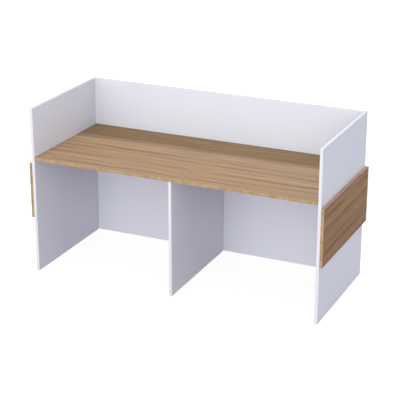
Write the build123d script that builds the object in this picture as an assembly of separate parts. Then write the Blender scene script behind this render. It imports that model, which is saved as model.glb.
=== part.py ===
from build123d import *
import math
import os

# Study carrel: a white board booth with a full-width worktop, a centre divider
# that makes two seats, and a wood-effect band of cladding round its two sides
# and its back.
# Millimetres. +X runs along the width, +Y to the rear, +Z up.
# Origin: centre of the overall box, on the floor under the feet.

# ---------------------------------------------------------------- driving dimensions
inner_width = 1800.0        # between the two side panels
board = 18.0                # thickness of every panel except the worktop
worktop_board = 20.0        # thickness of the worktop
panel_height = 1041.0       # side and back panels
side_depth = 780.0          # side panels, front edge to rear edge
foot_height = 4.0           # visible height of a foot that is screwed fully in
worktop_top = 736.0         # top of the worktop above the panels' lower edge
clad_bottom = 349.0         # lower edge of the cladding above the panels' lower edge
clad_height = 346.0         # height of the cladding band
band = 1.0                  # thickness of an edge band
band_round = 0.8            # rounding of an edge band's outer corners
worktop_band = 2.0          # thicker band on the worktop's front edge
worktop_band_round = 1.5

# cam fittings
cam_r, cam_len = 7.5, 13.6
cam_sink = 0.4              # the cam sits this far under the board's face
cam_set = 34.0              # cam axis to the joint plane
bolt_thread_r, bolt_thread_len = 3.0, 11.0
bolt_shank_r, bolt_neck_r, bolt_head_r = 3.5, 2.2, 3.2
bolt_bore_r = 4.0
# dowels
dowel_r, dowel_len, dowel_in_face = 4.0, 35.0, 12.0
# cladding push-fit connectors
conn_r, socket_len, plug_len, pin_r, pin_len = 6.0, 11.4, 10.0, 3.0, 9.0
# levelling feet
foot_r = 8.0                # foot base
stud_r, stud_len = 4.0, 38.5
thread_pitch = 1.25
foot_travel = 10.0          # how far a foot can be screwed out
sleeve_r, sleeve_len, sleeve_flange_r, sleeve_flange = 5.5, 30.0, 7.0, 1.0
run = 0.05                  # radial clearance of a fitting in its bore
run_stud = 0.06             # radial clearance of a foot's screw in its sleeve

# ---------------------------------------------------------------- derived positions
depth = side_depth + board              # the rear cladding adds one board
y0 = -depth / 2.0                       # front plane
y_side = y0 + side_depth                # rear edge of the side panels
y_back = y_side - board                 # front face of the back panel
y_rear = y_side + board                 # rear face of the rear cladding
z0 = foot_height
z1 = z0 + panel_height
zt = z0 + worktop_top                   # worktop surface
zu = zt - worktop_board                 # underside of the worktop
zc0 = z0 + clad_bottom
zc1 = zc0 + clad_height
xi = inner_width / 2.0                  # inner face of a side panel
xo = xi + board                         # outer face of a side panel
xc = xo + board                         # outer face of a side cladding
xd = board / 2.0                        # half the divider

os.makedirs("parts", exist_ok=True)


def block(x_a, x_b, y_a, y_b, z_a, z_b):
    """A box between two corners."""
    return Pos((x_a + x_b) / 2, (y_a + y_b) / 2, (z_a + z_b) / 2) * Box(
        abs(x_b - x_a), abs(y_b - y_a), abs(z_b - z_a)
    )


def rod(start, direction, radius, length):
    """A cylinder from a point along a direction."""
    return Plane(origin=start, z_dir=direction).location * Cylinder(
        radius, length, align=(Align.CENTER, Align.CENTER, Align.MIN)
    )


def turned(points, origin, direction):
    """A solid turned from (radius, height) points, its axis along a direction."""
    outline = Polyline(*[(r, 0, h) for r, h in points], close=True)
    solid = revolve(make_face(outline), Axis.Z, 360)
    return Plane(origin=origin, z_dir=direction).location * solid


def rounded(solid, axis, side, radius, ends=False):
    """Rounds the outer corners of an edge band: the long ones, or all four."""
    face = (solid.faces().sort_by(axis)[-1 if side > 0 else 0]).edges()
    if not ends:
        longest = max(e.length for e in face)
        face = [e for e in face if e.length > 0.9 * longest]
    return fillet(face, radius)


def fit(origin, x_dir, z_dir):
    return Plane(origin=origin, x_dir=x_dir, z_dir=z_dir).location


def add(a, b, k=1.0):
    return tuple(p + k * q for p, q in zip(a, b))


def minus(a):
    return tuple(-p for p in a)


# ---------------------------------------------------------------- boards
left_side = block(-xo, -xi, y0 + band, y_side - band, z0, z1 - band)
right_side = block(xi, xo, y0 + band, y_side - band, z0, z1 - band)
back = block(-xi, xi, y_back, y_side, z0, z1 - band)
divider = block(-xd, xd, y0 + band, y_back, z0, zu)
worktop = block(-xi, xi, y0 + worktop_band, y_back, zu, zt)
left_clad = block(-xc, -xo, y0 + band, y_side, zc0 + band, zc1 - band)
right_clad = block(xo, xc, y0 + band, y_side, zc0 + band, zc1 - band)
rear_clad = block(-xc + band, xc - band, y_side, y_rear, zc0 + band, zc1 - band)

boards = {
    "left_side_panel": left_side,
    "right_side_panel": right_side,
    "back_panel": back,
    "centre_divider": divider,
    "desktop": worktop,
    "left_cladding": left_clad,
    "right_cladding": right_clad,
    "rear_cladding": rear_clad,
}
cuts = {name: [] for name in boards}

# ---------------------------------------------------------------- edge bands
nodes = {}
for tag, sx in (("left", -1), ("right", 1)):
    a, b = sorted((sx * xi, sx * xo))
    nodes[f"{tag}_side_panel_front_edge_band"] = rounded(
        block(a, b, y0, y0 + band, z0, z1), Axis.Y, -1, band_round, ends=True
    )
    nodes[f"{tag}_side_panel_rear_edge_band"] = rounded(
        block(a, b, y_side - band, y_side, z0, z1), Axis.Y, 1, band_round, ends=True
    )
    nodes[f"{tag}_side_panel_top_edge_band"] = rounded(
        block(a, b, y0 + band, y_side - band, z1 - band, z1), Axis.Z, 1, band_round
    )
    a, b = sorted((sx * xo, sx * xc))
    nodes[f"{tag}_cladding_front_edge_band"] = rounded(
        block(a, b, y0, y0 + band, zc0, zc1), Axis.Y, -1, band_round, ends=True
    )
    nodes[f"{tag}_cladding_top_edge_band"] = rounded(
        block(a, b, y0 + band, y_side, zc1 - band, zc1), Axis.Z, 1, band_round
    )
    nodes[f"{tag}_cladding_bottom_edge_band"] = rounded(
        block(a, b, y0 + band, y_side, zc0, zc0 + band), Axis.Z, -1, band_round
    )
    a, b = sorted((sx * (xc - band), sx * xc))
    nodes[f"rear_cladding_{tag}_edge_band"] = rounded(
        block(a, b, y_side, y_rear, zc0, zc1), Axis.X, sx, band_round, ends=True
    )
nodes["back_panel_top_edge_band"] = rounded(
    block(-xi, xi, y_back, y_side, z1 - band, z1), Axis.Z, 1, band_round
)
nodes["divider_front_edge_band"] = rounded(
    block(-xd, xd, y0, y0 + band, z0, zu), Axis.Y, -1, band_round
)
nodes["desktop_front_edge_band"] = rounded(
    block(-xi, xi, y0, y0 + worktop_band, zu, zt), Axis.Y, -1, worktop_band_round
)
nodes["rear_cladding_top_edge_band"] = rounded(
    block(-xc + band, xc - band, y_side, y_rear, zc1 - band, zc1), Axis.Z, 1, band_round
)
nodes["rear_cladding_bottom_edge_band"] = rounded(
    block(-xc + band, xc - band, y_side, y_rear, zc0, zc0 + band), Axis.Z, -1, band_round
)

# ---------------------------------------------------------------- cam fittings
# Local frame of a cam joint: Z leaves the face that the cam is let into, X runs
# from the joint plane into the board that holds the cam.


def cam_body(half):
    """A zinc cam: a drum with a cross recess, a mouth for the bolt and a hollow for its head."""
    drum = Pos(0, 0, -cam_sink) * Cylinder(
        cam_r - run, cam_len, align=(Align.CENTER, Align.CENTER, Align.MAX)
    )
    drum = chamfer(drum.edges().group_by(Axis.Z)[-1], 0.4)
    mouth = Pos(-5.0, 0, -half) * Box(8.0, 5.4, 5.4)
    hollow = Pos(0.6, 0, -half) * Box(7.2, 7.4, 7.4)
    cross = Pos(0, 0, -cam_sink) * (
        Box(9.0, 1.6, 3.6) + Box(1.6, 9.0, 3.6)
    )
    groove = Pos(0, 0, -half) * (
        Cylinder(cam_r + 1, 5.4) - Cylinder(cam_r - 1.4, 5.4)
    )
    wedge = Pos(0, 5.0, -half) * Box(20, 10, 10)
    return drum - mouth - hollow - cross - (groove & wedge)


def cam_bolt():
    """A steel bolt along X: thread in one board, shank, neck and head to the cam."""
    j = -cam_set
    profile = [
        (0, j - bolt_thread_len),
        (bolt_thread_r - 1.2, j - bolt_thread_len),
        (bolt_thread_r - run, j - bolt_thread_len + 1.6),
    ]
    # thread crests and roots
    for k in range(4):
        base = j - bolt_thread_len + 1.8 + 2.0 * k
        profile += [
            (bolt_thread_r - run, base),
            (bolt_thread_r - 0.55, base + 0.9),
            (bolt_thread_r - run, base + 1.8),
        ]
    profile += [
        (bolt_thread_r - run, j),
        (bolt_shank_r, j),
        (bolt_shank_r, -9.6),
        (bolt_neck_r, -8.2),
        (bolt_neck_r, -2.4),
        (bolt_head_r, -1.4),
        (bolt_head_r, 1.4),
        (bolt_head_r - 0.8, 2.2),
        (0, 2.2),
    ]
    return turned(profile, (0, 0, 0), (1, 0, 0))


cams, bolts, caps, dowels = [], [], [], []


def cap_body():
    """A thin domed cover cap, lying on the board's face over a cam."""
    return turned(
        [(0, 0), (8.6, 0), (8.6, 0.35), (8.2, 0.75), (6.5, 1.05), (3.5, 1.2), (0, 1.25)],
        (0, 0, 0),
        (0, 0, 1),
    )


def cam_joint(holder, other, origin, x_dir, z_dir, half, cap):
    at = fit(origin, x_dir, z_dir)
    cams.append(at * cam_body(half))
    bolts.append(at * (Pos(0, 0, -half) * cam_bolt()))
    if cap:
        caps.append(at * cap_body())
    deep = cam_sink + cam_len + 0.2
    cuts[holder].append(rod(add(origin, z_dir, 1.0), minus(z_dir), cam_r, deep + 1.0))
    axis_point = add(origin, z_dir, -half)
    plane_point = add(axis_point, x_dir, -cam_set)
    cuts[holder].append(rod(add(plane_point, x_dir, -1.0), x_dir, bolt_bore_r, cam_set - 5.0))
    cuts[other].append(
        rod(add(plane_point, x_dir, 1.0), minus(x_dir), bolt_thread_r, bolt_thread_len + 1.5)
    )


def dowel_joint(holder, other, point, into_holder):
    """point lies on the joint plane; into_holder points into the board drilled in its edge."""
    start = add(point, into_holder, -dowel_in_face)
    body = rod(start, into_holder, dowel_r - run, dowel_len)
    body = chamfer(body.edges().filter_by(GeomType.CIRCLE), 0.9)
    dowels.append(body)
    cuts[other].append(
        rod(add(point, into_holder, 1.0), minus(into_holder), dowel_r, dowel_in_face + 1.5)
    )
    cuts[holder].append(
        rod(add(point, into_holder, -1.0), into_holder, dowel_r, dowel_len - dowel_in_face + 1.5)
    )


X, Y, Z = (1, 0, 0), (0, 1, 0), (0, 0, 1)
half_w = worktop_board / 2
mid_w = zu + half_w

# worktop to the side panels, cams in its underside
for sx, side in ((-1, "left_side_panel"), (1, "right_side_panel")):
    inward = (-sx, 0, 0)
    for y in (y0 + 60, y0 + 380, y0 + 700):
        cam_joint("desktop", side, (sx * (xi - cam_set), y, zu), inward, (0, 0, -1), half_w, False)
    for y in (y0 + 110, y0 + 640):
        dowel_joint("desktop", side, (sx * xi, y, mid_w), inward)
# worktop to the back panel
for x in (-760, -300, 300, 760):
    cam_joint("desktop", "back_panel", (x, y_back - cam_set, zu), (0, -1, 0), (0, 0, -1), half_w, False)
for x in (-530, 120, 530):
    dowel_joint("desktop", "back_panel", (x, y_back, mid_w), (0, -1, 0))
# divider to the worktop and to the back panel, cams in its left face
for y in (y0 + 90, y0 + 600):
    cam_joint("centre_divider", "desktop", (-xd, y, zu - cam_set), (0, 0, -1), (-1, 0, 0), xd, True)
for y in (y0 + 140, y0 + 550):
    dowel_joint("centre_divider", "desktop", (0, y, zu), (0, 0, -1))
for z in (z0 + 120, z0 + 480):
    cam_joint("centre_divider", "back_panel", (-xd, y_back - cam_set, z), (0, -1, 0), (-1, 0, 0), xd, True)
for z in (z0 + 180, z0 + 540):
    dowel_joint("centre_divider", "back_panel", (0, y_back, z), (0, -1, 0))
# back panel to the side panels, cams in its rear face
y_mid_back = y_back + board / 2
for sx, side in ((-1, "left_side_panel"), (1, "right_side_panel")):
    inward = (-sx, 0, 0)
    for z in (z0 + 70, z0 + 290, z0 + 780, z0 + 980):
        cam_joint("back_panel", side, (sx * (xi - cam_set), y_side, z), inward, (0, 1, 0), board / 2, True)
    for z in (z0 + 130, z0 + 520, z0 + 900):
        dowel_joint("back_panel", side, (sx * xi, y_mid_back, z), inward)

# ---------------------------------------------------------------- cladding connectors
sockets, plugs = [], []


def connector(panel, cladding, point, out):
    """A push-fit pair: a ring socket in the panel's face and a plug with a barbed pin in the cladding's back."""
    sockets.append(
        turned(
            [
                (pin_r + 0.15, 0), (conn_r - run, 0), (conn_r - run, -1.5), (conn_r - 0.4, -2.2),
                (conn_r - run, -4.2), (conn_r - 0.4, -4.9), (conn_r - run, -7.0),
                (conn_r - 0.4, -7.7), (conn_r - run, -9.6), (conn_r - 0.8, -socket_len),
                (pin_r + 0.15, -socket_len), (pin_r + 0.15, -8.9), (pin_r + 0.65, -8.0),
                (pin_r + 0.65, -5.6), (pin_r + 0.15, -4.8),
            ],
            point, out,
        )
    )
    plugs.append(
        turned(
            [
                (0, plug_len), (conn_r - 0.8, plug_len), (conn_r - run, plug_len - 1.6),
                (conn_r - 0.4, 6.8), (conn_r - run, 6.0), (conn_r - 0.4, 3.8), (conn_r - run, 3.0),
                (conn_r - run, 0), (pin_r, 0), (pin_r, -5.4), (pin_r + 0.45, -6.2),
                (pin_r + 0.45, -7.4), (pin_r - 0.6, -pin_len), (0, -pin_len),
            ],
            point, out,
        )
    )
    cuts[panel].append(rod(add(point, out, 1.0), minus(out), conn_r, socket_len + 1.1))
    cuts[cladding].append(rod(add(point, out, -1.0), out, conn_r, plug_len + 1.1))


rows = (zc0 + 60, zc1 - 60)
for sx, tag in ((-1, "left"), (1, "right")):
    for y in (y0 + 60, y0 + 390, y0 + 710):
        for z in rows:
            connector(f"{tag}_side_panel", f"{tag}_cladding", (sx * xo, y, z), (sx, 0, 0))
for x in (-840, -420, 0, 420, 840):
    for z in rows:
        connector("back_panel", "rear_cladding", (x, y_side, z), (0, 1, 0))

# ---------------------------------------------------------------- levelling feet
feet = {
    "front_left": (-(xi + board / 2), y0 + 50, "left_side_panel"),
    "rear_left": (-(xi + board / 2), y_side - 50, "left_side_panel"),
    "front_middle": (0.0, y0 + 50, "centre_divider"),
    "rear_middle": (0.0, y_back - 50, "centre_divider"),
    "front_right": (xi + board / 2, y0 + 50, "right_side_panel"),
    "rear_right": (xi + board / 2, y_side - 50, "right_side_panel"),
}
sleeves = []
swivel_r, swivel_z0, swivel_z1 = 5.5, 1.25, 2.85
for name, (x, y, holder) in feet.items():
    # threaded sleeve pressed into the board's lower edge
    sleeves.append(
        turned(
            [
                (stud_r + run_stud, 0), (sleeve_flange_r - run, 0), (sleeve_flange_r - run, sleeve_flange),
                (sleeve_r - run, sleeve_flange), (sleeve_r - run, 5), (sleeve_r - 0.5, 6),
                (sleeve_r - run, 10), (sleeve_r - 0.5, 11), (sleeve_r - run, 15), (sleeve_r - 0.5, 16),
                (sleeve_r - run, 20), (sleeve_r - 0.5, 21), (sleeve_r - run, 25), (sleeve_r - 0.6, sleeve_len),
                (stud_r + run_stud, sleeve_len),
            ],
            (x, y, z0), Z,
        )
    )
    cuts[holder].append(rod((x, y, z0 - 1), Z, sleeve_flange_r, 1 + sleeve_flange))
    cuts[holder].append(rod((x, y, z0 - 1), Z, sleeve_r, 1 + sleeve_len))
    cuts[holder].append(rod((x, y, z0 - 1), Z, stud_r + 0.3, 1 + stud_len + 1.0))
    # moulded base with a socket in which the screw's flange turns
    nodes[f"{name}_foot_base"] = turned(
        [
            (0, 0), (foot_r - 1.2, 0), (foot_r - 0.35, 0.35), (foot_r, 1.2), (foot_r, foot_height - 0.6),
            (foot_r - 0.6, foot_height), (stud_r + run_stud, foot_height),
            (stud_r + run_stud, swivel_z1 + run_stud), (swivel_r + run_stud, swivel_z1 + run_stud),
            (swivel_r + run_stud, swivel_z0 - run_stud), (0, swivel_z0 - run_stud),
        ],
        (x, y, 0), Z,
    )
    # steel screw: flange, plain neck with two spanner flats, threaded length
    stud = turned(
        [
            (0, swivel_z0), (swivel_r, swivel_z0), (swivel_r, swivel_z1), (stud_r, swivel_z1),
            (stud_r, swivel_z0 + stud_len - 1.2), (stud_r - 1.0, swivel_z0 + stud_len),
            (0, swivel_z0 + stud_len),
        ],
        (x, y, 0), Z,
    )
    for s in (-1, 1):
        stud -= block(x - 5, x + 5, y + s * 3.25, y + s * 6, foot_height + 0.6, foot_height + 7.6)
    nodes[f"{name}_foot_stud"] = stud

# ---------------------------------------------------------------- write the pieces
for name, body in boards.items():
    for tool in cuts[name]:
        body = body - tool
    nodes[name] = body

nodes["cam_locks"] = cams
nodes["cam_bolts"] = bolts
nodes["dowels"] = dowels
nodes["cam_cover_caps"] = caps
nodes["cladding_connector_sockets"] = sockets
nodes["cladding_connector_plugs"] = plugs
nodes["foot_sleeves"] = sleeves

for name, body in sorted(nodes.items()):
    if isinstance(body, list):
        body = Compound(children=[s.solid() if not isinstance(s, Solid) else s for s in body])
    export_step(body, f"parts/{name}.step")
    print(name)
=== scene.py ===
import math

import bpy
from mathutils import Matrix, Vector


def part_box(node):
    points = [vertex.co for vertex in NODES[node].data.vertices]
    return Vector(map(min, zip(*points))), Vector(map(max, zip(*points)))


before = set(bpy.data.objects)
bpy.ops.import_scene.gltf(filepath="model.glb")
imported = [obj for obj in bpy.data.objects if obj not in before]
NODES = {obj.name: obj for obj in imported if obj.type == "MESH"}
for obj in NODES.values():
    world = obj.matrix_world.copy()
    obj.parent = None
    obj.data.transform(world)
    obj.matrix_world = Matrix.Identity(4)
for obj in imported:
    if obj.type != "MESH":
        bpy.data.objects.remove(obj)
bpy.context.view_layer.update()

scene = bpy.context.scene
scene.view_settings.view_transform = "Standard"
scene.view_settings.look = "None"
scene.view_settings.exposure = 0.0
scene.view_settings.gamma = 1.0
scene.cycles.diffuse_bounces = 1


# ----------------------------------------------------------------------------
# node helpers: every texture is worked out from the object's own coordinates,
# which are metres in the part's frame
# ----------------------------------------------------------------------------
class Mat:
    def __init__(self, name):
        self.m = bpy.data.materials.new(name)
        self.m.use_nodes = True
        self.t = self.m.node_tree
        self.t.nodes.clear()
        self.out = self.t.nodes.new("ShaderNodeOutputMaterial")
        self.bsdf = self.t.nodes.new("ShaderNodeBsdfPrincipled")
        self.t.links.new(self.bsdf.outputs[0], self.out.inputs["Surface"])
        self.tc = self.t.nodes.new("ShaderNodeTexCoord")
        self.pos = self.tc.outputs["Object"]
        sep = self.t.nodes.new("ShaderNodeSeparateXYZ")
        self.t.links.new(self.pos, sep.inputs[0])
        self.x, self.y, self.z = sep.outputs
        sepn = self.t.nodes.new("ShaderNodeSeparateXYZ")
        self.t.links.new(self.tc.outputs["Normal"], sepn.inputs[0])
        self.nx, self.ny, self.nz = sepn.outputs

    def put(self, sock, v):
        if isinstance(v, bpy.types.NodeSocket):
            self.t.links.new(v, sock)
        elif v is not None:
            sock.default_value = v

    def math(self, op, a, b=None, c=None, clamp=False):
        n = self.t.nodes.new("ShaderNodeMath")
        n.operation = op
        n.use_clamp = clamp
        for i, v in enumerate((a, b, c)):
            self.put(n.inputs[i], v)
        return n.outputs[0]

    def add(self, a, b): return self.math("ADD", a, b)
    def sub(self, a, b): return self.math("SUBTRACT", a, b)
    def mul(self, a, b): return self.math("MULTIPLY", a, b)
    def mad(self, a, b, c): return self.math("MULTIPLY_ADD", a, b, c)
    def min(self, a, b): return self.math("MINIMUM", a, b)
    def max(self, a, b): return self.math("MAXIMUM", a, b)
    def abs(self, a): return self.math("ABSOLUTE", a)

    def vec(self, x, y, z):
        n = self.t.nodes.new("ShaderNodeCombineXYZ")
        for i, v in enumerate((x, y, z)):
            self.put(n.inputs[i], v)
        return n.outputs[0]

    def scaled(self, v, scale, shift=(0, 0, 0)):
        n = self.t.nodes.new("ShaderNodeMapping")
        n.inputs["Location"].default_value = shift
        n.inputs["Scale"].default_value = scale
        self.t.links.new(v, n.inputs["Vector"])
        return n.outputs[0]

    def noise(self, v, scale=1.0, detail=2.0, rough=0.5, distort=0.0, lac=2.0):
        n = self.t.nodes.new("ShaderNodeTexNoise")
        n.noise_dimensions = "3D"
        self.t.links.new(v, n.inputs["Vector"])
        n.inputs["Scale"].default_value = scale
        n.inputs["Detail"].default_value = detail
        n.inputs["Roughness"].default_value = rough
        n.inputs["Lacunarity"].default_value = lac
        n.inputs["Distortion"].default_value = distort
        return n.outputs[0]

    def voronoi(self, v, scale=1.0, feature="F1", out="Distance", rand=1.0):
        n = self.t.nodes.new("ShaderNodeTexVoronoi")
        n.voronoi_dimensions = "3D"
        n.feature = feature
        self.t.links.new(v, n.inputs["Vector"])
        n.inputs["Scale"].default_value = scale
        n.inputs["Randomness"].default_value = rand
        return n.outputs[out]

    def step(self, v, lo, hi, out_lo=0.0, out_hi=1.0, smooth=True):
        n = self.t.nodes.new("ShaderNodeMapRange")
        n.interpolation_type = "SMOOTHSTEP" if smooth else "LINEAR"
        n.clamp = True
        self.put(n.inputs["Value"], v)
        n.inputs["From Min"].default_value = lo
        n.inputs["From Max"].default_value = hi
        n.inputs["To Min"].default_value = out_lo
        n.inputs["To Max"].default_value = out_hi
        return n.outputs[0]

    def ramp(self, fac, stops, mode="LINEAR"):
        n = self.t.nodes.new("ShaderNodeValToRGB")
        r = n.color_ramp
        r.interpolation = mode
        while len(r.elements) < len(stops):
            r.elements.new(0.5)
        for e, (p, c) in zip(r.elements, stops):
            e.position = p
            e.color = (c[0], c[1], c[2], 1.0) if hasattr(c, "__len__") else (c, c, c, 1.0)
        self.put(n.inputs["Fac"], fac)
        return n.outputs["Color"]

    def mix(self, fac, a, b, mode="MIX"):
        n = self.t.nodes.new("ShaderNodeMix")
        n.data_type = "RGBA"
        n.blend_type = mode
        n.clamp_factor = True
        self.put(n.inputs[0], fac)
        for s, v in ((n.inputs[6], a), (n.inputs[7], b)):
            if isinstance(v, bpy.types.NodeSocket):
                self.t.links.new(v, s)
            else:
                s.default_value = (v[0], v[1], v[2], 1.0)
        return n.outputs[2]

    def bump(self, height, strength, distance, normal=None):
        n = self.t.nodes.new("ShaderNodeBump")
        n.inputs["Strength"].default_value = strength
        n.inputs["Distance"].default_value = distance
        self.put(n.inputs["Height"], height)
        if normal is not None:
            self.t.links.new(normal, n.inputs["Normal"])
        return n.outputs[0]

    def set(self, **kw):
        names = {"color": "Base Color", "rough": "Roughness", "metal": "Metallic", "normal": "Normal",
                 "ior": "IOR", "spec": "Specular IOR Level", "coat": "Coat Weight", "coat_rough": "Coat Roughness",
                 "sheen": "Sheen Weight", "sheen_rough": "Sheen Roughness", "sss": "Subsurface Weight"}
        for k, v in kw.items():
            s = self.bsdf.inputs[names[k]]
            if k == "color" and not isinstance(v, bpy.types.NodeSocket):
                v = (v[0], v[1], v[2], 1.0)
            self.put(s, v)
        return self.m

    def axis(self, name):
        return {"x": self.x, "y": self.y, "z": self.z}[name]

    def edge_distance(self, lo, hi, axes):
        """Metres to the nearest of the board's outer planes on these axes."""
        d = None
        for a in axes:
            i = "xyz".index(a)
            for one in (self.sub(self.axis(a), float(lo[i])), self.sub(float(hi[i]), self.axis(a))):
                d = one if d is None else self.min(d, one)
        return d


# ----------------------------------------------------------------------------
# white board and its edge bands
# ----------------------------------------------------------------------------
WHITE = (0.802, 0.802, 0.875)


def white_board(node, thickness, raw_bottom):
    """White melamine-faced chipboard: pearl texture, faint handling marks, a glue line at the bands, chipboard where cut."""
    lo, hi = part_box(node)
    g = Mat("white_melamine_" + node)
    faces = [a for a in "xyz" if a != thickness]
    cloud = g.noise(g.pos, 2.2, 3.0, 0.55)
    paper = g.noise(g.pos, 46.0, 3.0, 0.6)
    col = g.ramp(g.mad(paper, 0.35, g.mul(cloud, 0.65)),
                 [(0.30, (0.788, 0.788, 0.862)), (0.50, WHITE), (0.72, (0.814, 0.814, 0.885))])
    # dull wiped patches and a few hair scratches, mostly in the gloss
    wipe = g.noise(g.scaled(g.pos, (7.0, 7.0, 2.5), (3.1, 1.7, 0.4)), 1.0, 3.0, 0.6, 0.6)
    hair = g.noise(g.scaled(g.pos, (95.0, 70.0, 9.0), (0.3, 8.2, 5.5)), 1.0, 2.0, 0.5, 1.2)
    hairline = g.step(g.abs(g.sub(hair, 0.5)), 0.0, 0.007, 1.0, 0.0)
    gate = g.step(g.noise(g.pos, 5.0, 2.0, 0.5), 0.56, 0.66)
    scratch = g.mul(hairline, gate)
    # shoe scuffs low down
    low = g.step(g.z, 0.02, 0.17, 1.0, 0.0)
    scuff = g.noise(g.scaled(g.pos, (14.0, 14.0, 120.0), (5.0, 2.0, 9.0)), 1.0, 3.0, 0.6, 0.8)
    scuffs = g.mul(g.step(scuff, 0.62, 0.72), low)
    col = g.mix(g.mul(scuffs, 0.08), col, (0.46, 0.45, 0.47))
    col = g.mix(g.mul(scratch, 0.10), col, (0.62, 0.62, 0.65))
    # the glue line where the band meets the board, and knocks along that edge
    d = g.edge_distance(lo, hi, faces)
    chip = g.noise(g.pos, 160.0, 3.0, 0.6)
    line = g.step(g.mad(g.sub(chip, 0.5), 0.0005, d), 0.00012, 0.00042, 1.0, 0.0)
    col = g.mix(g.mul(line, 0.40), col, (0.56, 0.53, 0.50))
    rub = g.mul(g.step(d, 0.0005, 0.010, 1.0, 0.0), g.step(g.noise(g.pos, 24.0, 4.0, 0.65), 0.52, 0.70))
    col = g.mix(g.mul(rub, 0.06), col, (0.66, 0.66, 0.69))
    pearl = g.noise(g.pos, 620.0, 2.0, 0.55)
    soft = g.noise(g.pos, 130.0, 2.0, 0.5)
    height = g.mad(soft, 0.5, pearl)
    height = g.sub(height, g.mul(scratch, 0.9))
    height = g.sub(height, g.mul(line, 1.2))
    rough = g.add(g.mad(wipe, 0.10, 0.33), g.mad(scratch, 0.12, g.mul(rub, 0.10)))
    rough = g.mad(pearl, 0.05, rough)
    if raw_bottom:
        chips = g.voronoi(g.scaled(g.pos, (260.0, 260.0, 90.0)), 1.0)
        flake = g.noise(g.scaled(g.pos, (380.0, 230.0, 120.0), (1.0, 2.0, 3.0)), 1.0, 4.0, 0.7)
        wood = g.ramp(g.mad(chips, 0.5, g.mul(flake, 0.6)),
                      [(0.22, (0.13, 0.075, 0.035)), (0.45, (0.36, 0.24, 0.13)), (0.62, (0.50, 0.36, 0.21)), (0.80, (0.62, 0.48, 0.31))])
        raw = g.mul(g.step(g.nz, -0.98, -0.80, 1.0, 0.0), g.step(g.z, float(lo[2]) + 0.0006, float(lo[2]) + 0.0012, 1.0, 0.0))
        col = g.mix(raw, col, wood)
        rough = g.mad(raw, 0.45, rough)
        height = g.add(height, g.mul(raw, g.mul(chips, 6.0)))
    g.set(color=col, rough=rough, normal=g.bump(height, 0.20, 0.00006), ior=1.49)
    return g.m


def white_band(node, thickness):
    """White ABS edging: a little glossier than the board, faint run of the extrusion, rubbed along its rounded arrises."""
    lo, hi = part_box(node)
    g = Mat("white_edging_" + node)
    run = max("xyz", key=lambda a: hi["xyz".index(a)] - lo["xyz".index(a)])
    stretch = {a: (3.0 if a == run else 260.0) for a in "xyz"}
    lines = g.noise(g.scaled(g.pos, (stretch["x"], stretch["y"], stretch["z"])), 1.0, 3.0, 0.6)
    cloud = g.noise(g.pos, 9.0, 3.0, 0.55)
    col = g.ramp(g.mad(lines, 0.4, g.mul(cloud, 0.6)),
                 [(0.30, (0.720, 0.711, 0.724)), (0.52, (0.735, 0.726, 0.737)), (0.74, (0.749, 0.740, 0.750))])
    d = g.edge_distance(lo, hi, [thickness])
    knock = g.noise(g.pos, 90.0, 4.0, 0.65)
    rub = g.mul(g.step(d, 0.0003, 0.0018, 1.0, 0.0), g.step(knock, 0.54, 0.70))
    col = g.mix(g.mul(rub, 0.07), col, (0.62, 0.62, 0.65))
    dust = g.mul(g.step(g.z, 0.005, 0.10, 1.0, 0.0), g.step(g.noise(g.pos, 55.0, 3.0, 0.6), 0.45, 0.75))
    col = g.mix(g.mul(dust, 0.04), col, (0.52, 0.51, 0.52))
    peel = g.noise(g.pos, 420.0, 2.0, 0.5)
    rough = g.add(g.mad(cloud, 0.08, 0.27), g.mad(rub, 0.16, g.mul(dust, 0.08)))
    height = g.sub(g.mad(lines, 0.5, peel), g.mul(rub, 0.8))
    g.set(color=col, rough=rough, normal=g.bump(height, 0.16, 0.00005), ior=1.50)
    return g.m


# ----------------------------------------------------------------------------
# wood-effect board
# ----------------------------------------------------------------------------
WOOD_TINT = (0.945, 0.875, 0.69)
DARK = (0.200, 0.112, 0.055)
MID = (0.345, 0.214, 0.118)
LIGHT = (0.435, 0.284, 0.168)

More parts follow.
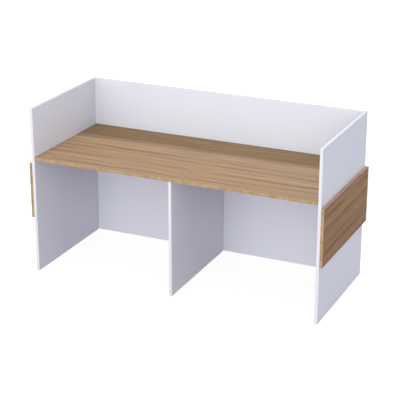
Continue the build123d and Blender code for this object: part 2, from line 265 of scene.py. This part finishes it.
# the printed grain's main lines across each board: (place in metres, tone), dark below 0, light above; on the desktop
# the dark line at 0.118 is partly painted shade along the edge of the back panel's shadow
LINES = {
    "desktop": [(-0.400, 0.3), (-0.390, 0.5), (-0.370, 0.0), (-0.350, -0.7), (-0.335, 0.1), (-0.315, 0.9), (-0.290, -1.0), (-0.268, 0.3),
                (-0.245, 1.1), (-0.215, -1.1), (-0.190, 0.2), (-0.165, 0.8), (-0.130, -0.6), (-0.110, 0.6), (-0.080, -1.1), (-0.050, 0.6),
                # the dark line at 0.118 is partly grain and partly painted shade along the edge of the shadow the back
                # panel casts on the desktop
                (-0.015, -0.6), (0.015, 0.8), (0.035, -0.5), (0.070, 0.7), (0.095, 0.2), (0.118, -1.0), (0.145, 0.5), (0.170, -0.8),
                (0.200, 0.5), (0.230, -0.4), (0.260, 0.1), (0.290, 0.7), (0.320, 0.0), (0.342, -0.6), (0.363, 0.0)],
    "right_cladding": [(0.353, -0.3), (0.366, -0.4), (0.385, 0.3), (0.403, 0.6), (0.418, 0.1), (0.429, -1.2), (0.441, 0.1), (0.457, 0.8), (0.470, 0.1),
                       (0.483, -0.9), (0.496, 0.2), (0.520, 0.5), (0.545, 0.2), (0.558, -0.1), (0.569, -1.5), (0.581, 0.1), (0.593, 1.2),
                       (0.620, 0.7), (0.637, -0.3), (0.647, -1.7), (0.657, -0.2), (0.669, 0.8), (0.681, 0.0), (0.689, -1.0), (0.699, 0.1)],
    "left_cladding": [(0.353, 0.1), (0.371, -0.8), (0.392, 0.5), (0.421, 0.3), (0.437, -1.2), (0.455, 0.7), (0.486, 0.2), (0.502, -0.8),
                      (0.525, 0.9), (0.548, 0.1), (0.561, -1.3), (0.580, 0.4), (0.611, 0.9), (0.628, -1.0), (0.652, 0.5), (0.673, -0.6), (0.699, 0.2)],
    "rear_cladding": [(0.353, -0.2), (0.380, 0.7), (0.398, -1.0), (0.424, 0.4), (0.449, 0.9), (0.468, -1.3), (0.489, 0.2), (0.519, 0.6),
                      (0.536, -0.9), (0.563, 0.8), (0.590, 0.0), (0.604, -1.2), (0.629, 0.6), (0.655, -0.5), (0.676, 0.7), (0.699, -0.3)],
}


def grain_field(g, u, v, w, seed, lines=None, strength=1.0, faint_at=None):
    """Signed tone of a long straight grain running along u, and its pores. v and w are across it, all in metres."""
    p = g.vec(u, v, w)
    wander = g.noise(g.scaled(p, (1.6, 3.0, 3.0), (seed * 1.7, seed, 0.3)), 1.0, 2.0, 0.5)
    ripple = g.noise(g.scaled(p, (7.0, 9.0, 9.0), (seed * 0.9, seed, 4.3)), 1.0, 2.0, 0.5)
    v2 = g.mad(g.sub(wander, 0.5), 0.017, g.mad(g.sub(ripple, 0.5), 0.006, v))
    q = g.vec(u, v2, w)
    broad = g.sub(g.noise(g.scaled(q, (0.7, 12.0, 12.0), (seed, 2.0 * seed, 1.0)), 1.0, 2.0, 0.55), 0.5)
    band = g.sub(g.noise(g.scaled(q, (1.5, 74.0, 74.0), (3.0, seed * 3.1, 4.0)), 1.0, 2.5, 0.6), 0.5)
    streak = g.sub(g.noise(g.scaled(q, (3.2, 205.0, 205.0), (7.0, seed * 1.3, 2.0)), 1.0, 3.0, 0.62), 0.5)
    fine = g.sub(g.noise(g.scaled(q, (9.0, 640.0, 640.0), (1.0, seed * 0.7, 6.0)), 1.0, 2.0, 0.6), 0.5)
    tone = g.mul(broad, 0.40)
    tone = g.mad(band, 1.30, tone)
    tone = g.mad(streak, 1.45, tone)
    tone = g.mad(fine, 0.60, tone)
    if lines:
        lo, hi = lines[0][0], lines[-1][0]
        main = g.ramp(g.step(v2, lo, hi, smooth=False), [((at - lo) / (hi - lo), 0.5 + 0.25 * k) for at, k in lines], "EASE")
        fade = g.step(g.noise(g.scaled(q, (1.9, 26.0, 26.0), (9.0, seed, 3.0)), 1.0, 2.0, 0.5), 0.30, 0.62, 0.45, 1.35)
        if faint_at is not None:
            fade = g.mul(fade, g.step(g.abs(g.sub(u, faint_at)), 0.02, 0.16, 0.35, 1.0))
        tone = g.mad(g.mul(g.sub(main, 0.5), fade), strength, tone)
    # broken hair lines
    hair = g.noise(g.scaled(q, (0.9, 100.0, 100.0), (seed * 2.3, 5.0, 9.0)), 1.0, 1.5, 0.45)
    line = g.step(g.abs(g.sub(hair, 0.46)), 0.0, 0.036, 1.0, 0.0)
    broken = g.step(g.noise(g.scaled(q, (3.0, 34.0, 34.0), (9.0, seed, 3.0)), 1.0, 2.0, 0.5), 0.42, 0.60)
    line = g.mul(line, broken)
    pore = g.noise(g.scaled(q, (34.0, 1150.0, 1150.0), (2.0, seed, 8.0)), 1.0, 2.0, 0.55)
    pores = g.mul(g.step(pore, 0.60, 0.70), g.step(streak, 0.12, -0.12))
    return tone, line, pores, fine


def wood_board(name, node, along, across, thickness, seed, tint=(1.0, 1.0, 1.0), strength=1.0, gloss=0.5, rough_at=0.40, faint_at=None, contrast=1.0):
    """Wood-effect melamine board: long straight grain, darker growth lines, pores pressed into the surface, handling
    marks. On the desktop one darker line, at 0.118, is partly painted shade along the edge of the back panel's shadow.
    """
    lo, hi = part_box(node)
    g = Mat(name)
    u, v, w = g.axis(along), g.axis(across), g.axis(thickness)
    tone, line, pores, fine = grain_field(g, u, v, w, seed, LINES[node], strength, faint_at)
    t = g.mad(tone, contrast, 0.5)
    k = lambda c: tuple(min(1.0, a * b) for a, b in zip(c, tint))
    col = g.ramp(t, [(0.04, k(DARK)), (0.30, k((0.288, 0.172, 0.091))), (0.50, k(MID)), (0.70, k((0.388, 0.246, 0.140))), (0.96, k(LIGHT))])
    col = g.mix(g.mul(line, 0.40 * contrast), col, k((0.185, 0.103, 0.050)))
    col = g.mix(g.mul(pores, 0.40), col, k((0.150, 0.084, 0.042)))
    faces = [a for a in "xyz" if a != thickness]
    d = g.edge_distance(lo, hi, faces)
    seam = g.step(d, 0.0001, 0.0005, 1.0, 0.0)
    col = g.mix(g.mul(seam, 0.5), col, (0.12, 0.070, 0.040))
    rub = g.mul(g.step(d, 0.0005, 0.012, 1.0, 0.0), g.step(g.noise(g.pos, 30.0, 4.0, 0.65), 0.52, 0.70))
    col = g.mix(g.mul(rub, 0.14), col, (0.50, 0.36, 0.24))
    wipe = g.noise(g.scaled(g.pos, (5.0, 5.0, 5.0), (seed, 4.0, 2.0)), 1.0, 4.0, 0.6, 0.5)
    rough = g.mad(wipe, 0.12, rough_at)
    rough = g.add(rough, g.mad(pores, 0.18, g.mul(rub, 0.10)))
    rough = g.mad(fine, -0.08, rough)
    height = g.mad(tone, 0.25, g.mul(fine, 0.55))
    height = g.sub(height, g.mad(pores, 0.9, g.mul(line, 0.30)))
    height = g.sub(height, g.mul(seam, 1.5))
    g.set(color=col, rough=rough, normal=g.bump(height, 0.32, 0.00010), ior=1.49, spec=gloss)
    return g.m


def wood_long_band(name, node, along, across, thickness, seed):
    """Edging whose grain runs along it: the board's own print, a touch deeper in colour."""
    lo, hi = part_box(node)
    g = Mat(name)
    u, v, w = g.axis(along), g.axis(across), g.axis(thickness)
    tone, line, pores, fine = grain_field(g, u, v, w, seed)
    t = g.add(tone, 0.5)
    col = g.ramp(t, [(0.08, (0.24, 0.140, 0.074)), (0.5, (0.37, 0.228, 0.130)), (0.92, (0.45, 0.290, 0.172))])
    col = g.mix(g.mul(line, 0.30), col, (0.18, 0.10, 0.055))
    col = g.mix(g.mul(pores, 0.40), col, (0.15, 0.084, 0.044))
    d = g.edge_distance(lo, hi, [thickness])
    rub = g.mul(g.step(d, 0.0003, 0.0022, 1.0, 0.0), g.step(g.noise(g.pos, 40.0, 4.0, 0.65), 0.48, 0.66))
    col = g.mix(g.mul(rub, 0.25), col, (0.52, 0.37, 0.24))
    rough = g.add(0.36, g.mad(pores, 0.16, g.mul(rub, 0.14)))
    height = g.sub(g.mul(fine, 0.6), g.mad(pores, 0.8, g.mul(rub, 0.4)))
    g.set(color=col, rough=rough, normal=g.bump(height, 0.30, 0.00008), ior=1.49)
    return g.m


def wood_cross_band(name, node, run, seed, tint=1.0):
    """Edging printed with grain that crosses it: short ticks in blocks of slightly different tone, paler than the faces."""
    lo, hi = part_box(node)
    g = Mat(name)
    size = [hi[i] - lo[i] for i in range(3)]
    i_run = "xyz".index(run)
    rest = [i for i in range(3) if i != i_run]
    wide = max(rest, key=lambda i: size[i])
    thin = min(rest, key=lambda i: size[i])
    r, a, b = g.axis(run), g.axis("xyz"[wide]), g.axis("xyz"[thin])
    p = g.vec(r, a, b)
    slant = g.mad(g.sub(g.noise(g.scaled(p, (22.0, 30.0, 30.0), (seed, 0.0, 1.0)), 1.0, 1.0), 0.5), 0.006, r)
    q = g.vec(slant, a, b)
    block = g.noise(g.scaled(q, (24.0, 1.5, 1.5), (seed * 1.9, 2.0, 0.0)), 1.0, 1.5, 0.5)
    band = g.noise(g.scaled(q, (85.0, 5.0, 5.0), (seed, 5.0, 0.0)), 1.0, 2.0, 0.55)
    tick = g.noise(g.scaled(q, (330.0, 26.0, 26.0), (seed, 1.0, 3.0)), 1.0, 2.5, 0.6)
    hair = g.noise(g.scaled(q, (1300.0, 90.0, 90.0), (seed, 7.0, 3.0)), 1.0, 2.0, 0.6)
    t = g.mad(hair, 0.14, g.mad(tick, 0.26, g.mad(band, 0.28, g.mul(block, 0.32))))
    t = g.mad(g.sub(t, 0.5), 2.4, 0.5)
    k = lambda c: tuple(x * tint for x in c)
    col = g.ramp(t, [(0.06, k((0.235, 0.138, 0.064))), (0.34, k((0.352, 0.222, 0.113))), (0.56, k((0.427, 0.284, 0.150))), (0.92, k((0.497, 0.348, 0.197)))])
    dash = g.mul(g.step(tick, 0.36, 0.28), g.step(band, 0.62, 0.40))
    col = g.mix(g.mul(dash, 0.50), col, k((0.190, 0.106, 0.046)))
    d = g.edge_distance(lo, hi, ["xyz"[wide]])
    rub = g.mul(g.step(d, 0.0003, 0.0024, 1.0, 0.0), g.step(g.noise(g.pos, 42.0, 4.0, 0.65), 0.46, 0.64))
    col = g.mix(g.mul(rub, 0.28), col, (0.60, 0.46, 0.31))
    rough = g.add(g.mad(hair, 0.06, 0.33), g.mad(dash, 0.10, g.mul(rub, 0.14)))
    height = g.sub(g.mul(hair, 0.6), g.mad(dash, 0.7, g.mul(rub, 0.4)))
    g.set(color=col, rough=rough, normal=g.bump(height, 0.28, 0.00008), ior=1.49)
    return g.m


# ----------------------------------------------------------------------------
# fittings
# ----------------------------------------------------------------------------
def zinc():
    g = Mat("die_cast_zinc")
    cast = g.noise(g.pos, 700.0, 4.0, 0.65)
    cloud = g.noise(g.pos, 160.0, 3.0, 0.6)
    col = g.ramp(g.mad(cast, 0.4, g.mul(cloud, 0.6)), [(0.30, (0.36, 0.365, 0.375)), (0.55, (0.50, 0.505, 0.515)), (0.80, (0.62, 0.62, 0.625))])
    rough = g.mad(cloud, 0.22, 0.33)
    g.set(color=col, rough=rough, metal=1.0, normal=g.bump(cast, 0.35, 0.00005))
    return g.m


def steel(name, grey, stretch):
    g = Mat(name)
    turn = g.noise(g.scaled(g.pos, stretch), 1.0, 3.0, 0.6)
    cloud = g.noise(g.pos, 120.0, 3.0, 0.6)
    col = g.ramp(g.mad(turn, 0.5, g.mul(cloud, 0.5)),
                 [(0.28, tuple(k * 0.66 for k in grey)), (0.52, grey), (0.78, tuple(min(1, k * 1.18) for k in grey))])
    rough = g.mad(cloud, 0.18, 0.22)
    g.set(color=col, rough=rough, metal=1.0, normal=g.bump(turn, 0.30, 0.00004))
    return g.m


def beech():
    g = Mat("beech_dowel")
    grain = g.noise(g.scaled(g.pos, (900.0, 900.0, 120.0)), 1.0, 3.0, 0.6)
    fleck = g.noise(g.pos, 900.0, 2.0, 0.5)
    col = g.ramp(g.mad(grain, 0.6, g.mul(fleck, 0.4)), [(0.30, (0.42, 0.26, 0.14)), (0.52, (0.60, 0.42, 0.26)), (0.80, (0.70, 0.52, 0.35))])
    col = g.mix(g.mul(g.step(fleck, 0.62, 0.70), 0.5), col, (0.33, 0.19, 0.10))
    g.set(color=col, rough=g.mad(grain, 0.15, 0.55), normal=g.bump(grain, 0.4, 0.00008), ior=1.45)
    return g.m


def plastic(name, base, rough, peel_scale=520.0):
    """Moulded plastic: fine spark-eroded texture, slight flow clouding, scuffed at the bottom."""
    g = Mat(name)
    cloud = g.noise(g.pos, 60.0, 3.0, 0.6)
    grit = g.noise(g.pos, peel_scale * 3.0, 2.0, 0.6)
    col = g.ramp(g.mad(grit, 0.25, g.mul(cloud, 0.75)),
                 [(0.30, tuple(k * 0.93 for k in base)), (0.52, base), (0.78, tuple(min(1.0, k * 1.05) for k in base))])
    wear = g.mul(g.step(g.z, 0.0005, 0.004, 1.0, 0.0), g.step(g.noise(g.pos, 420.0, 3.0, 0.6), 0.48, 0.66))
    col = g.mix(g.mul(wear, 0.35), col, tuple(0.5 * k + 0.10 for k in base))
    g.set(color=col, rough=g.add(g.mad(cloud, 0.12, rough), g.mul(wear, 0.15)),
          normal=g.bump(grit, 0.35, 0.00004), ior=1.50)
    return g.m


def use(node, material):
    o = NODES[node]
    if not o.material_slots:
        o.data.materials.append(material)
    for s in o.material_slots:
        s.link = "DATA"
        s.material = material
    for p in o.data.polygons:
        p.use_smooth = True


# ----------------------------------------------------------------------------
# every node gets its finish
# ----------------------------------------------------------------------------
for node, thick, raw in (("left_side_panel", "x", True), ("right_side_panel", "x", True), ("back_panel", "y", True), ("centre_divider", "x", True)):
    use(node, white_board(node, thick, raw))
for node, thick in (
    ("left_side_panel_front_edge_band", "x"), ("left_side_panel_top_edge_band", "x"), ("left_side_panel_rear_edge_band", "x"),
    ("right_side_panel_front_edge_band", "x"), ("right_side_panel_top_edge_band", "x"), ("right_side_panel_rear_edge_band", "x"),
    ("back_panel_top_edge_band", "y"), ("divider_front_edge_band", "x"),
):
    use(node, white_band(node, thick))

use("desktop", wood_board("wood_effect_desktop", "desktop", "x", "y", "z", 3.0, (0.930, 0.870, 0.66), 0.66, 0.45, 0.52, 0.10, 1.08))
use("left_cladding", wood_board("wood_effect_left", "left_cladding", "y", "z", "x", 11.0, WOOD_TINT, 1.0, 0.22, 0.52, None, 0.74))
use("right_cladding", wood_board("wood_effect_right", "right_cladding", "y", "z", "x", 17.0, WOOD_TINT, 1.0, 0.22, 0.52, None, 0.74))
use("rear_cladding", wood_board("wood_effect_rear", "rear_cladding", "x", "z", "y", 23.0, WOOD_TINT, 1.0, 0.22, 0.52, None, 0.74))
use("desktop_front_edge_band", wood_cross_band("wood_edging_desktop", "desktop_front_edge_band", "x", 5.0))
use("left_cladding_front_edge_band", wood_cross_band("wood_edging_left_front", "left_cladding_front_edge_band", "z", 8.0))
use("right_cladding_front_edge_band", wood_cross_band("wood_edging_right_front", "right_cladding_front_edge_band", "z", 9.5))
use("rear_cladding_left_edge_band", wood_cross_band("wood_edging_rear_left", "rear_cladding_left_edge_band", "z", 12.0))
use("rear_cladding_right_edge_band", wood_cross_band("wood_edging_rear_right", "rear_cladding_right_edge_band", "z", 14.0))
for node, along, thick, seed in (
    ("left_cladding_top_edge_band", "y", "x", 21.0), ("left_cladding_bottom_edge_band", "y", "x", 22.0),
    ("right_cladding_top_edge_band", "y", "x", 24.0), ("right_cladding_bottom_edge_band", "y", "x", 25.0),
    ("rear_cladding_top_edge_band", "x", "y", 26.0), ("rear_cladding_bottom_edge_band", "x", "y", 27.0),
):
    use(node, wood_long_band("wood_edging_" + node.replace("_edge_band", ""), node, along, "z", thick, seed))

use("cam_locks", zinc())
use("cam_bolts", steel("plated_bolt_steel", (0.56, 0.56, 0.55), (500.0, 500.0, 500.0)))
use("dowels", beech())
use("cam_cover_caps", plastic("cap_plastic", (0.80, 0.80, 0.835), 0.36))
use("cladding_connector_sockets", plastic("socket_nylon", (0.74, 0.74, 0.75), 0.40))
use("cladding_connector_plugs", plastic("plug_nylon", (0.72, 0.72, 0.73), 0.40))
use("foot_sleeves", steel("sleeve_steel", (0.52, 0.51, 0.49), (260.0, 260.0, 1800.0)))
base_material = plastic("foot_nylon", (0.70, 0.70, 0.715), 0.42)
stud_material = steel("stud_steel", (0.58, 0.58, 0.57), (300.0, 300.0, 2400.0))
for name in NODES:
    if name.endswith("_foot_base"):
        use(name, base_material)
    elif name.endswith("_foot_stud"):
        use(name, stud_material)

# ----------------------------------------------------------------------------
# floor, light, camera
# ----------------------------------------------------------------------------
# colours of the soft light by direction (x to the right, -y to the front, z up), then the lamps
SKY = {
    "up": (0.1094, 0.1122, 0.1088), "round": (0.5660, 0.5853, 0.5856), "front": (0.2107, 0.2202, 0.2247),
    "rear": (0.0, 0.0, 0.0), "right": (0.0, 0.0039, 0.0343), "left": (0.0, 0.0, 0.0),
}
FLOOR_LIGHT = (0.3332, 0.3055, 0.3565)
KEY = (91.9638, 92.5579, 88.9291)
KEY_LOW = (121.0550, 123.6831, 125.2590)
KEY_MID = (92.1529, 96.2961, 106.3257)
REAR = (1.7565, 1.8215, 2.0616)


def floor_material():
    """Pale studio floor. The camera sees it almost white with a soft shadow; what it sends back to the object is set apart."""
    g = Mat("studio_floor")
    cloud = g.noise(g.pos, 0.6, 3.0, 0.5)
    col = g.ramp(cloud, [(0.3, (0.245, 0.245, 0.248)), (0.7, (0.255, 0.255, 0.258))])
    g.set(color=col, rough=g.mad(cloud, 0.05, 0.90), normal=g.bump(g.noise(g.pos, 200.0, 2.0), 0.05, 0.0002), spec=0.0)
    path = g.t.nodes.new("ShaderNodeLightPath")
    glow = g.mix(path.outputs["Is Camera Ray"], FLOOR_LIGHT, (0.88, 0.88, 0.88))
    g.put(g.bsdf.inputs["Emission Color"], glow)
    g.bsdf.inputs["Emission Strength"].default_value = 1.0
    return g.m


bpy.ops.mesh.primitive_plane_add(size=120.0, location=(0.0, 20.0, 0.0))
floor = bpy.context.object
floor.name = "studio_floor"
floor.data.materials.append(floor_material())

world = bpy.data.worlds.new("studio")
scene.world = world
world.use_nodes = True
wt = world.node_tree
wt.nodes.clear()
wo = wt.nodes.new("ShaderNodeOutputWorld")
wc = wt.nodes.new("ShaderNodeTexCoord")
ws = wt.nodes.new("ShaderNodeSeparateXYZ")
wt.links.new(wc.outputs["Generated"], ws.inputs[0])
total = None
for lobe, (axis, sign) in {"up": (2, 1.0), "front": (1, -1.0), "rear": (1, 1.0), "right": (0, 1.0), "left": (0, -1.0), "round": (None, 1.0)}.items():
    c = wt.nodes.new("ShaderNodeVectorMath")
    c.operation = "SCALE"
    c.inputs[0].default_value = SKY[lobe]
    if axis is None:
        c.inputs["Scale"].default_value = 1.0
    else:
        m = wt.nodes.new("ShaderNodeMath")
        m.operation = "MULTIPLY"
        wt.links.new(ws.outputs[axis], m.inputs[0])
        m.inputs[1].default_value = sign
        m2 = wt.nodes.new("ShaderNodeMath")
        m2.operation = "MAXIMUM"
        wt.links.new(m.outputs[0], m2.inputs[0])
        m2.inputs[1].default_value = 0.0
        wt.links.new(m2.outputs[0], c.inputs["Scale"])
    if total is None:
        total = c.outputs[0]
    else:
        s = wt.nodes.new("ShaderNodeVectorMath")
        s.operation = "ADD"
        wt.links.new(total, s.inputs[0])
        wt.links.new(c.outputs[0], s.inputs[1])
        total = s.outputs[0]
seen = wt.nodes.new("ShaderNodeBackground")
seen.inputs["Color"].default_value = (1.0, 1.0, 1.0, 1.0)
seen.inputs["Strength"].default_value = 1.0
lit = wt.nodes.new("ShaderNodeBackground")
lit.inputs["Strength"].default_value = 1.0
wt.links.new(total, lit.inputs["Color"])
path = wt.nodes.new("ShaderNodeLightPath")
wm = wt.nodes.new("ShaderNodeMixShader")
wt.links.new(path.outputs["Is Camera Ray"], wm.inputs[0])
wt.links.new(lit.outputs[0], wm.inputs[1])
wt.links.new(seen.outputs[0], wm.inputs[2])
wt.links.new(wm.outputs[0], wo.inputs["Surface"])


def lamp(data, name, rgb):
    top = max(rgb)
    if top <= 0.0:
        return None
    data.energy = top
    data.color = tuple(c / top for c in rgb)
    o = bpy.data.objects.new(name, data)
    scene.collection.objects.link(o)
    return o


def area(name, at, look, size_x, size_y, rgb):
    d = bpy.data.lights.new(name, "AREA")
    d.shape = "RECTANGLE"
    d.size, d.size_y = size_x, size_y
    o = lamp(d, name, rgb)
    if o:
        o.location = at
        o.rotation_euler = (Vector(look) - Vector(at)).to_track_quat("-Z", "Y").to_euler()


def sun(name, towards, angle, rgb):
    d = bpy.data.lights.new(name, "SUN")
    d.angle = math.radians(angle)
    o = lamp(d, name, rgb)
    if o:
        o.rotation_euler = Vector(towards).to_track_quat("-Z", "Y").to_euler()


# a large soft box in front and above, a low one straight in front, and a soft light from behind and above
area("key_softbox", (-1.2, -6.5, 3.6), (0.0, 0.0, 0.6), 7.0, 4.5, KEY)
area("mid_softbox", (2.2, -7.0, 3.2), (0.0, 0.0, 0.6), 6.0, 4.0, KEY_MID)
area("low_softbox", (0.6, -7.5, 1.3), (0.0, 0.0, 0.6), 6.0, 2.4, KEY_LOW)
sun("rear_soft_light", (0.0, -math.cos(math.radians(52.5)), -math.sin(math.radians(52.5))), 11.0, REAR)

camera_data = bpy.data.cameras.new("camera")
camera_data.lens = 114.688
camera_data.sensor_width = 36.0
camera_data.dof.use_dof = False
camera_data.clip_end = 200.0
camera = bpy.data.objects.new("camera", camera_data)
scene.collection.objects.link(camera)
camera.location = (3.0141, -6.5591, 3.2008)
camera.rotation_euler = (math.pi / 2 - 0.361247, 0.0, 0.429589)
scene.camera = camera
